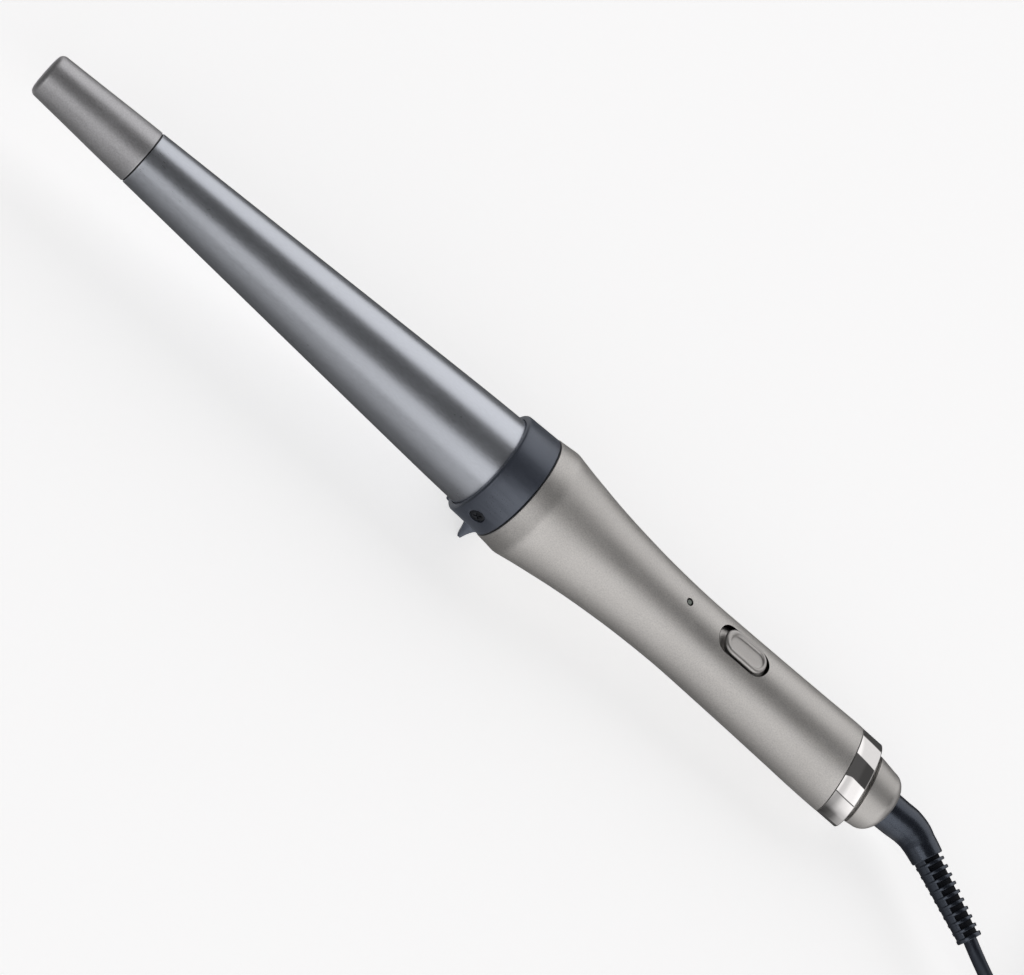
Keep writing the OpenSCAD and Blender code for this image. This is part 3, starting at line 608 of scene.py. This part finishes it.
def holed_patch(b, radius, slope, x_list, holes, sign):
    """The window of a turned surface round the slot and the light, triangulated round the holes' loops."""
    ths = [k * STEP_A for k in range(-SPAN, SPAN + 1)]
    pts, kind = [], []
    nx, nt = len(x_list), len(ths)
    border = {}
    for i, x in enumerate(x_list):
        for j, th in enumerate(ths):
            edge = i in (0, nx - 1) or j in (0, nt - 1)
            y = radius(x) * math.sin(th)
            near = any(inside_obround(x, y, cx, L + 2 * o + 0.5, W + 2 * o + 0.5) for cx, L, W, o in holes)
            if edge or not near:
                if edge:
                    border[(i, j)] = len(pts)
                pts.append((x, th))
    edges = []
    ring = [(0, j) for j in range(nt)] + [(i, nt - 1) for i in range(1, nx)] + \
        [(nx - 1, j) for j in range(nt - 2, -1, -1)] + [(i, 0) for i in range(nx - 2, 0, -1)]
    idx = [border[q] for q in ring]
    edges += [(idx[k], idx[(k + 1) % len(idx)]) for k in range(len(idx))]
    for cx, L, W, o in holes:
        loop = hole_loop(L, W, o)
        k0 = len(pts)
        for u, w in loop:
            x = cx + u
            pts.append((x, math.asin(w / radius(x))))
        n = len(loop)
        edges += [(k0 + k, k0 + (k + 1) % n) for k in range(n)]
    flat = [Vector((x, th * 13.3)) for x, th in pts]
    co, _, tris, _, _, _ = delaunay_2d_cdt(flat, edges, [], 0, 1e-6)
    xs = np.array([c[0] for c in co])
    th = np.array([c[1] for c in co]) / 13.3
    r = np.array([radius(x) for x in xs])
    P = np.stack([xs, r * np.sin(th), r * np.cos(th)], 1)
    sl = np.array([slope(x) for x in xs])
    Nn = np.stack([-sl, np.sin(th), np.cos(th)], 1) * sign
    keep = []
    for t in tris:
        t = list(t)
        cx_, cy_ = xs[t].mean(), (r[t] * np.sin(th[t])).mean()
        if any(inside_obround(cx_, cy_, hx, L + 2 * o - 0.004, W + 2 * o - 0.004) for hx, L, W, o in holes):
            continue
        a_, b_, c_ = (np.array([xs[k], th[k]]) for k in t[:3])
        area = (b_[0] - a_[0]) * (c_[1] - a_[1]) - (c_[0] - a_[0]) * (b_[1] - a_[1])
        keep.append(tuple(t) if area * sign > 0 else tuple(t[::-1]))
    b.add(P, Nn, keep)


def hole_loop(L, W, o):
    n = 20 if W > 4 else 14
    r, c = W / 2 + o, (L - W) / 2
    pts = [(c + r * math.cos(a), r * math.sin(a)) for a in np.linspace(-math.pi / 2, math.pi / 2, n + 1)]
    if c > 0:
        pts += [(x, r) for x in np.linspace(c, -c, 16)[1:-1]]
    pts += [(-c + r * math.cos(a), r * math.sin(a)) for a in np.linspace(math.pi / 2, 1.5 * math.pi, n + 1)][0 if c > 0 else 1:]
    if c > 0:
        pts += [(x, -r) for x in np.linspace(-c, c, 16)[1:-1]]
    else:
        pts = pts[:-1]
    return pts


def rim(b, cx, L, W, rho, depth):
    """The rounded edge and the straight wall of a hole through the handle."""
    rings, norms = [], []
    for ph in np.linspace(0, math.pi / 2, 7):
        o = rho * (1 - math.sin(ph))
        d = rho * (1 - math.cos(ph))
        rows, nr = [], []
        for (u, w), (u0, w0) in zip(hole_loop(L, W, o), hole_loop(L, W, 0.0)):
            x = cx + u
            r = handle_r(x)
            z = math.sqrt(r * r - w * w) - d
            rows.append((x, w, z))
            c = (L - W) / 2
            m = np.array([-(u - np.clip(u, -c, c)), -w, 0.0])
            m /= np.linalg.norm(m)
            ns = np.array([-handle_slope(x), w / r, math.sqrt(1 - (w / r) ** 2)])
            nr.append(math.cos(ph) * ns / np.linalg.norm(ns) + math.sin(ph) * m)
        rings.append(rows)
        norms.append(nr)
    last = [(x, y, math.sqrt((handle_r(x) - depth) ** 2 - y * y)) for x, y, z in rings[-1]]
    rings.append(last)
    norms.append(norms[-1])
    n = len(last)
    pts = [p for row in rings for p in row]
    nn = [q for row in norms for q in row]
    faces = [(i * n + j, (i + 1) * n + j, (i + 1) * n + (j + 1) % n, i * n + (j + 1) % n)
             for i in range(len(rings) - 1) for j in range(n)]
    b.add(pts, nn, faces)


hb = Build()
RHO_SLOT, RHO_LIGHT = 0.24, 0.16
# outer surface, front to rear; the rear edge leans with the slanted joint
xs_out = [1.8, 2.4, 3.2, 4.2, 5.2, 6.2, 7.0, 7.6, 8.2, 8.8, 9.4, 10.0, 10.8, 11.8, 13] + list(np.arange(14.5, 57, 1.5))
xs_patch = list(np.arange(PATCH[0], PATCH[1] + 0.01, 1.0))
xs_out = [x for x in xs_out if x < PATCH[0] - 0.4]
front = arc(1.8, 18.3, 0.2, 180, 100, 4)
rear = [(x, handle_r(x), 0.0) for x in np.arange(98.5, 128, 1.5)]
lean = [(128 + 10.12 * q, 0, -SLANT * q) for q in np.linspace(0, 1, 9)]
rear += [(x, float(handle_r(min(x, 139))), k) for x, _, k in lean]
R_END = float(handle_r(138.3))
edge = [(138.3 - 0.18 + 0.18 * math.sin(a), R_END - 0.18 + 0.18 * math.cos(a), -SLANT)
        for a in np.radians([22, 45, 68, 90])]
profile = [(*p, 0.0) for p in front] + [(x, handle_r(x), 0.0) for x in xs_out] + \
    [(x, handle_r(x), 0.0) for x in xs_patch] + rear + edge
i_patch = (len(front) + len(xs_out), len(front) + len(xs_out) + len(xs_patch) - 1)
pv, pf = turned(profile, SEG, closed=False)
pn = rev_normals(profile, SEG)


def in_window(q):
    i, j = q[0] // SEG, q[0] % SEG
    jj = j if j < SEG / 2 else j - SEG
    return i_patch[0] <= i < i_patch[1] and -SPAN <= jj < SPAN


hb.add(pv, pn, [q[::-1] for q in pf if not in_window(q)])
holed_patch(hb, handle_r, handle_slope, xs_patch,
            [(SLOT_X, SLOT_L, SLOT_W, RHO_SLOT), (LIGHT_X, LIGHT_D, LIGHT_D, RHO_LIGHT)], 1.0)
rim(hb, SLOT_X, SLOT_L, SLOT_W, RHO_SLOT, WALL)
rim(hb, LIGHT_X, LIGHT_D, LIGHT_D, RHO_LIGHT, WALL)
# inner surface
inner = [(x, handle_r(x) - WALL, 0.0) for x in list(np.arange(5.0, 57, 2.0)) if x < PATCH[0] - 0.4]
k0 = len(inner)
inner += [(x, handle_r(x) - WALL, 0.0) for x in xs_patch]
inner += [(x, handle_r(x) - WALL, 0.0) for x in np.arange(99, 127.5, 3)]
iv, jf = turned(inner, SEG, closed=False)
inn = rev_normals(inner, SEG, -1.0)
i_patch = (k0, k0 + len(xs_patch) - 1)
hb.add(iv, inn, [q for q in jf if not in_window(q)])
holed_patch(hb, lambda x: handle_r(x) - WALL, handle_slope, xs_patch,
            [(SLOT_X, SLOT_L, SLOT_W, 0.0), (LIGHT_X, LIGHT_D, LIGHT_D, 0.0)], -1.0)


def flat_ring(b, prof, axis_sign):
    """Straight faces between profile points, each with the face's own normal."""
    for p, q in zip(prof[:-1], prof[1:]):
        v2, f2 = turned([p, q], SEG, closed=False)
        d = np.array([q[0] - p[0], q[1] - p[1]], float)
        d /= np.linalg.norm(d)
        ang = np.linspace(0, 2 * np.pi, SEG, endpoint=False)
        n1 = np.stack([np.full(SEG, -d[1]), d[0] * np.sin(ang), d[0] * np.cos(ang)], 1) * axis_sign
        b.add(v2, np.concatenate([n1, n1]), f2 if axis_sign < 0 else [t[::-1] for t in f2])


flat_ring(hb, [(5.0, handle_r(5.0) - WALL, 0), (1.6, 17.05, 0), (1.6, 18.3, 0)], -1.0 * -1)
flat_ring(hb, [(138.3, R_END - 0.18, -SLANT), (138.3, 12.95, -SLANT), (128, 12.95, 0), (126.0, handle_r(126) - WALL, 0)], 1.0)
handle = hb.finish("handle_sleeve", "handle_finish", "wand", ["handle_shell"])

# ----------------------------------------------------------------- mirror ring
K = -SLANT
RR = 14.35
ring_profile = (
    [(138.5, 12.95, K), (138.5, RR - 0.15, K)]
    + [(x, r, K) for x, r in arc(138.65, RR - 0.15, 0.15, 170, 95, 4)]
    + [(x, r, K) for x, r in arc(147.0 - 0.45, RR - 0.45, 0.45, 88, 0, 10)]
    + [(147.0, 12.65, K), (146.8, 12.4, K), (146.0, 12.4, K), (146.0, 12.95, K)]
)
v, f = turned(ring_profile, 224)
band = make("mirror_band", v, f, "mirror_ring", "wand", ["chrome_ring"], sharp=30)

# --------------------------------------------------------------------- end cap
cap_pts = smooth_line([[138, 12.1], [141.5, 12.0], [144, 11.9], [147, 11.55], [150.4, 11.1], [153.5, 10.68]], 8)


def cap_r(x):
    return np.interp(x, cap_pts[:, 0], cap_pts[:, 1])


def leaning(stations, seg):
    """Turned surface whose radius follows cap_r at each point's own station, less dr."""
    ang = np.linspace(0, 2 * np.pi, seg, endpoint=False)
    out = []
    for x, k, dr in stations:
        r = np.full(seg, 11.5)
        for _ in range(6):
            r = cap_r(x + k * r * np.cos(ang)) - dr
        out.append(np.stack([x + k * r * np.cos(ang), r * np.sin(ang), r * np.cos(ang)], 1))
    return np.concatenate(out), grid_faces(len(stations), seg)


CS = 192
st = [(145.6, K, 1.4), (148.75, K, 1.4), (148.75, K, 0.22)]
st += [(148.75 + 0.22 * (1 - math.cos(a)), K, 0.22 * (1 - math.sin(a))) for a in np.radians([25, 50, 70, 90])]
st += [(148.97 + (153.4 - 148.97) * q, K * (1 - q) ** 1.0, 0.0) for q in np.linspace(0.06, 1, 12)]
v1, f1 = leaning(st, CS)
tail = arc(153.5, 10.68 - 3.9, 3.9, 88, 3, 18) + [(157.36, 6.92), (157.1, 6.9), (154.7, 6.9), (154.7, 9.3), (147, 9.3),
                                                 (145.6, 10.2, K)]
v2, _ = turned(tail, CS)
v = np.concatenate([v1, v2])
m = len(st) + len(tail)
f = grid_faces(m, CS, wrap_i=True)
cap = make("rear_cap", v, f, "cap_plastic", "wand", ["end_cap"], sharp=32)

# ------------------------------------------------------------------- the knob
KX = 84.8 + 9.8 - 0.9 - 8.25
KL, KW, KT = 16.5, 8.4, 13.95


def ob(length, width, cx, z, n=28):
    r, c = width / 2, (length - width) / 2
    a1 = np.linspace(-math.pi / 2, math.pi / 2, n)
    a2 = np.linspace(math.pi / 2, 1.5 * math.pi, n)
    pts = [(KX + cx + c + r * math.cos(a), r * math.sin(a), z) for a in a1]
    pts += [(KX + cx + q, r, z) for q in np.linspace(c, -c, 14)[1:-1]]
    pts += [(KX + cx - c + r * math.cos(a), r * math.sin(a), z) for a in a2]
    pts += [(KX + cx + q, -r, z) for q in np.linspace(-c, c, 14)[1:-1]]
    return pts


rows = [ob(KL - 1.6, KW - 1.6, 0, 9.6), ob(KL - 1.6, KW - 1.6, 0, KT - 1.3), ob(KL - 0.1, KW - 0.1, 0, KT - 1.08),
        ob(KL, KW, 0, KT - 0.98)]
for a in np.radians(np.linspace(8, 90, 9)):
    o = 0.9 * (1 - math.cos(a))
    rows.append(ob(KL - 2 * o, KW - 2 * o, 0, KT - 0.9 + 0.9 * math.sin(a)))
DX = 0.2
for L_, W_, d in [(13.75, 6.2, 0.0), (13.5, 6.0, 0.05), (13.25, 5.8, 0.18), (13.0, 5.6, 0.38), (12.7, 5.35, 0.55),
                  (12.2, 4.9, 0.66), (11.0, 4.0, 0.72), (9.6, 2.7, 0.74), (8.2, 1.5, 0.75), (7.3, 0.7, 0.75)]:
    rows.append(ob(L_, W_, DX, 0))
    depth = d
    rows[-1] = [(x, y, KT - depth * (1.0 - 0.30 * (x - KX - DX) / 6.7)) for x, y, _ in rows[-1]]
kn = len(rows[0])
v = [p for row in rows for p in row]
f = grid_faces(len(rows), kn)
f.append(tuple(range(kn))[::-1])
f.append(tuple((len(rows) - 1) * kn + j for j in range(kn)))
top = (np.array(v), f)
# curved skirt that closes the slot from inside
nxs, nth = 30, 17
tm = math.asin(5.6 / 11.3)
sk = []
for rr in (11.3, 10.4):
    for x in np.linspace(KX - 12.8, KX + 12.8, nxs):
        for t_ in np.linspace(-tm, tm, nth):
            sk.append((x, rr * math.sin(t_), rr * math.cos(t_)))
sf = []
M = nxs * nth
for i in range(nxs - 1):
    for j in range(nth - 1):
        a, b_, c_, d_ = i * nth + j, i * nth + j + 1, (i + 1) * nth + j + 1, (i + 1) * nth + j
        sf.append((a, b_, c_, d_))
        sf.append((M + d_, M + c_, M + b_, M + a))
for i in range(nxs - 1):
    sf.append((i * nth, (i + 1) * nth, M + (i + 1) * nth, M + i * nth))
    e0 = nth - 1
    sf.append(((i + 1) * nth + e0, i * nth + e0, M + i * nth + e0, M + (i + 1) * nth + e0))
for j in range(nth - 1):
    sf.append((j + 1, j, M + j, M + j + 1))
    e0 = (nxs - 1) * nth
    sf.append((e0 + j, e0 + j + 1, M + e0 + j + 1, M + e0 + j))
parts = [top, (np.array(sk), sf)]
for sgn in (-1, 1):
    parts.append(block((KX + sgn * 2.2 - 0.4, -2, 8.85), (KX + sgn * 2.2 + 0.4, 2, 9.65)))
v, f = union_meshes(parts)
knob = make("slide_knob", v, f, "knob_plastic", "switch", ["switch_knob"], sharp=50)

# ------------------------------------------- pieces that take the CAD's shape


def softened(node, name, mat, body, width, segments=2, angle=30):
    """The node's own shape with its sharp edges rounded off."""
    me = frame["nodes"][node].data.copy()
    me.name = name
    me.materials.clear()
    me.materials.append(MAT[mat])
    bm = bmesh.new()
    bm.from_mesh(me)
    bmesh.ops.remove_doubles(bm, verts=bm.verts, dist=2e-6)
    bmesh.ops.dissolve_limit(bm, angle_limit=math.radians(1.0), verts=bm.verts, edges=bm.edges)
    bm.to_mesh(me)
    bm.free()
    o = bpy.data.objects.new(name, me)
    scene.collection.objects.link(o)
    o.matrix_world = frame["nodes"][node].matrix_world.copy()
    soften(o, width, segments, angle)
    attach(o, body)
    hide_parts(node)
    return o


collar = softened("collar", "front_collar", "collar_plastic", "wand", 0.14)
stand = softened("safety_stand", "toe_stand", "collar_plastic", "stand", 0.16)
c_screws = softened("collar_screws", "collar_screw_pair", "dark_steel", "wand", 0.06)
tie = softened("hank_tie", "hank_strap", "tie_rubber", "swivel", 0.3)


# --------------------------------------------------------------------- plug
def section(x, a, b_, c_, n=48):
    """Rounded rectangle across x: half width a, half thickness b_, corner radius c_."""
    c_ = min(c_, a, b_)
    pts = []
    for q in range(4):
        sy, sz = ((1, 1), (-1, 1), (-1, -1), (1, -1))[q]
        for t_ in np.linspace(0, math.pi / 2, n // 4, endpoint=False):
            t2 = t_ + q * math.pi / 2
            pts.append((x, sy * (a - c_) + c_ * math.cos(t2), sz * (b_ - c_) + c_ * math.sin(t2)))
    return pts


PX, PY, PZ = 404.0, -11.0, 6.9
rows = []
for x in np.concatenate([np.linspace(-15, 0, 40), np.linspace(0.6, 33.4, 70), 34.0 + 2 * (1 - np.cos(np.radians(np.linspace(0, 90, 9))))]):
    a = np.interp(x, [-15, 0, 1.5, 8, 16, 20, 22, 34, 36], [3.2, 4.4, 6.2, 10, 15.5, 17.2, 17.5, 17.5, 17.5])
    h = np.interp(x, [-15, 0, 1.5, 8, 14, 36], [3.2, 4.4, 4.9, 6.3, 6.85, 6.85])
    c0 = np.interp(x, [-15, 0, 4, 10, 36], [3.2, 4.4, 4.3, 4.0, 3.6])
    if x < -0.5:
        g = 0.45 * (0.5 - 0.5 * math.cos(2 * math.pi * (x + 15) / 2.5)) ** 2
        a, h = a - g, h - g
    if 5 < x < 17:
        a -= 0.45 * (0.5 - 0.5 * math.cos(2 * math.pi * (x - 5) / 2.0)) ** 1.5
    if x > 34:
        o = 2 - math.sqrt(max(4 - (x - 34) ** 2, 0))
        a, h, c0 = a - o, h - o, max(c0 - o * 0.6, 0.5)
    rows.append([(PX + p[0], PY + p[1], PZ + p[2]) for p in section(x, a, h, c0)])
pn_ = len(rows[0])
v = [p for row in rows for p in row]
f = grid_faces(len(rows), pn_)
f.append(tuple(range(pn_))[::-1])
f.append(tuple((len(rows) - 1) * pn_ + j for j in range(pn_)))
plug = make("plug_moulding", v, f, "cord_rubber", "swivel", ["plug_body"], sharp=45, wand=False)
pins = softened("plug_pins", "plug_pin_pair", "pin_nickel", "swivel", 0.08)
sleeves = softened("plug_sleeves", "pin_sleeve_pair", "black_plastic", "swivel", 0.08)

# ---------------------------------------------------------------------- floor
bm = bmesh.new()
bmesh.ops.create_grid(bm, x_segments=1, y_segments=1, size=4)
me = bpy.data.meshes.new("floor")
bm.to_mesh(me)
bm.free()
floor = bpy.data.objects.new("floor", me)
floor.location = (0, 0, -0.00004)
scene.collection.objects.link(floor)
fm = surface("floor_paper", (0.86, 0.86, 0.87), 0.0, 0.8, vary=0.004, rough_vary=0.02, grain=500,
             cloud=6, cloud_vary=0.004, spec=0.1)
fb = next(n for n in fm.node_tree.nodes if n.type == "BSDF_PRINCIPLED")
fb.inputs["Emission Color"].default_value = (1, 1, 1, 1)
fb.inputs["Emission Strength"].default_value = 0.62
me.materials.append(fm)
floor.visible_glossy = False
floor.visible_diffuse = False
floor.visible_transmission = False
floor.visible_shadow = False

# ---------------------------------------------------------------------- light
world = bpy.data.worlds.new("studio")
scene.world = world
world.use_nodes = True
wt = world.node_tree
wt.nodes.clear()


def wmath(op, a, b=None, c=None, clamp=False):
    n = wt.nodes.new("ShaderNodeMath")
    n.operation = op
    n.use_clamp = clamp
    for k, q in enumerate((a, b, c)):
        if q is None:
            continue
        if isinstance(q, (int, float)):
            n.inputs[k].default_value = q
        else:
            wt.links.new(q, n.inputs[k])
    return n.outputs[0]


def wramp(value, lo, hi, a=0.0, b=1.0):
    n = wt.nodes.new("ShaderNodeMapRange")
    n.interpolation_type = "SMOOTHSTEP"
    wt.links.new(value, n.inputs[0])
    for k, q in ((1, lo), (2, hi), (3, a), (4, b)):
        n.inputs[k].default_value = q
    return n.outputs[0]


def wcurve(value, points):
    """Straight-line table from value to level, as a colour ramp."""
    lo, hi = points[0][0], points[-1][0]
    pos = wmath("DIVIDE", wmath("SUBTRACT", value, lo), hi - lo, clamp=True)
    r = wt.nodes.new("ShaderNodeValToRGB")
    r.color_ramp.interpolation = "LINEAR"
    el = r.color_ramp.elements
    while len(el) < len(points):
        el.new(0.5)
    for e_, (p_, q_) in zip(el, points):
        e_.position = (p_ - lo) / (hi - lo)
        e_.color = (q_, q_, q_, 1)
    wt.links.new(pos, r.inputs[0])
    return r.outputs[0]


tc = wt.nodes.new("ShaderNodeTexCoord")
sx = wt.nodes.new("ShaderNodeSeparateXYZ")
wt.links.new(tc.outputs["Generated"], sx.inputs[0])
dx, dy, dz = sx.outputs
beta = wmath("MULTIPLY", wmath("ARCTAN2", dz, dy), 180 / math.pi)
# from -90 (straight down) through 0 (the far side), 90 (up), 180 (the near side) to 270
beta = wmath("ADD", beta, wmath("MULTIPLY", wmath("LESS_THAN", beta, -90), 360))
far_low = wmath("MULTIPLY", wramp(beta, 2, 7, 1, 0), wcurve(dx, [(-1, 0.5), (-0.3, 0.45), (0.0, 0.06), (1, 0.07)]))
beta_a = wmath("ADD", beta, wramp(dx, -0.1, 0.12, 5, 0))
beta_b = wmath("SUBTRACT", beta, wramp(dx, 0.08, 0.3, 9.5, 0))
box_a = wmath("MULTIPLY", wramp(beta, 2, 7), wramp(beta_a, 67, 68.5, 1, 0))
gap = wmath("MULTIPLY", wramp(beta_a, 67, 68.5), wramp(beta_b, 123, 124.5, 1, 0))
box_b = wmath("MULTIPLY", wramp(beta_b, 123, 124.5), wramp(beta, 173, 174.5, 1, 0))
line = wmath("MULTIPLY", wramp(beta, 173, 174.5), wramp(beta, 176, 177.5, 1, 0))
near_low = wramp(beta, 176, 177.5)
b_level = wcurve(dx, [(-0.35, 1.3), (-0.2, 0.8), (-0.09, 0.19), (0.0, 0.22), (0.05, 0.43), (0.1, 0.76), (0.14, 1.14),
                      (0.2, 0.68), (0.26, 0.72), (0.33, 1.02), (0.46, 1.02), (0.6, 1.3)])
low_f = wcurve(beta, [(177, 1.12), (187, 1.10), (201, 1.0), (216, 0.71), (233, 0.30), (255, 0.24), (270, 0.22)])
low_side = wmath("MULTIPLY", wramp(beta, 216, 229), wmath("SUBTRACT", wcurve(dx, [
    (0.0, 0.14), (0.15, 0.13), (0.3, 0.02), (0.36, 0.02), (0.41, 0.20), (0.45, 0.28), (0.6, 0.24)]), 0.1))
low_g = wcurve(dx, [(-0.35, 0.5), (-0.2, 0.4), (-0.08, 0.21), (0.0, 0.145), (0.05, 0.2), (0.1, 0.31), (0.15, 0.46),
                    (0.2, 0.36), (0.26, 0.40), (0.35, 0.76), (0.5, 0.97)])
a_level = wcurve(dx, [(0.1, 0.83), (0.14, 0.82), (0.18, 1.08), (0.24, 1.08), (0.29, 0.81), (0.6, 0.81)])
gap_level = wcurve(dx, [(0.05, 0.058), (0.14, 0.085), (0.37, 0.085), (0.43, 0.058)])
level = wmath("ADD", wmath("ADD", far_low, low_side), wmath("MULTIPLY", box_a, a_level))
level = wmath("ADD", level, wmath("MULTIPLY", gap, gap_level))
level = wmath("ADD", level, wmath("MULTIPLY", box_b, b_level))
level = wmath("ADD", level, wmath("MULTIPLY", line, 0.10))
level = wmath("ADD", level, wmath("MULTIPLY", near_low, wmath("MULTIPLY", low_f, low_g)))
side_a = wramp(dx, -0.62, -0.45, 1, 0)
side_b = wmath("MULTIPLY", wramp(dx, 0.62, 0.76), wramp(dz, -0.1, 0.1))
level = wmath("ADD", wmath("MULTIPLY", level, wmath("SUBTRACT", 1, side_a)), wmath("MULTIPLY", side_a, 0.10))
level = wmath("ADD", wmath("MULTIPLY", level, wmath("SUBTRACT", 1, side_b)), wmath("MULTIPLY", side_b, 0.38))
lp = wt.nodes.new("ShaderNodeLightPath")
bg = wt.nodes.new("ShaderNodeBackground")
bg.inputs[0].default_value = (1, 0.985, 0.98, 1)
wt.links.new(level, bg.inputs[1])
plain = wt.nodes.new("ShaderNodeBackground")
plain.inputs[0].default_value = (0.90, 0.90, 0.91, 1)
mixw = wt.nodes.new("ShaderNodeMixShader")
wt.links.new(lp.outputs["Is Camera Ray"], mixw.inputs[0])
wt.links.new(bg.outputs[0], mixw.inputs[1])
wt.links.new(plain.outputs[0], mixw.inputs[2])
wo = wt.nodes.new("ShaderNodeOutputWorld")
wt.links.new(mixw.outputs[0], wo.inputs[0])
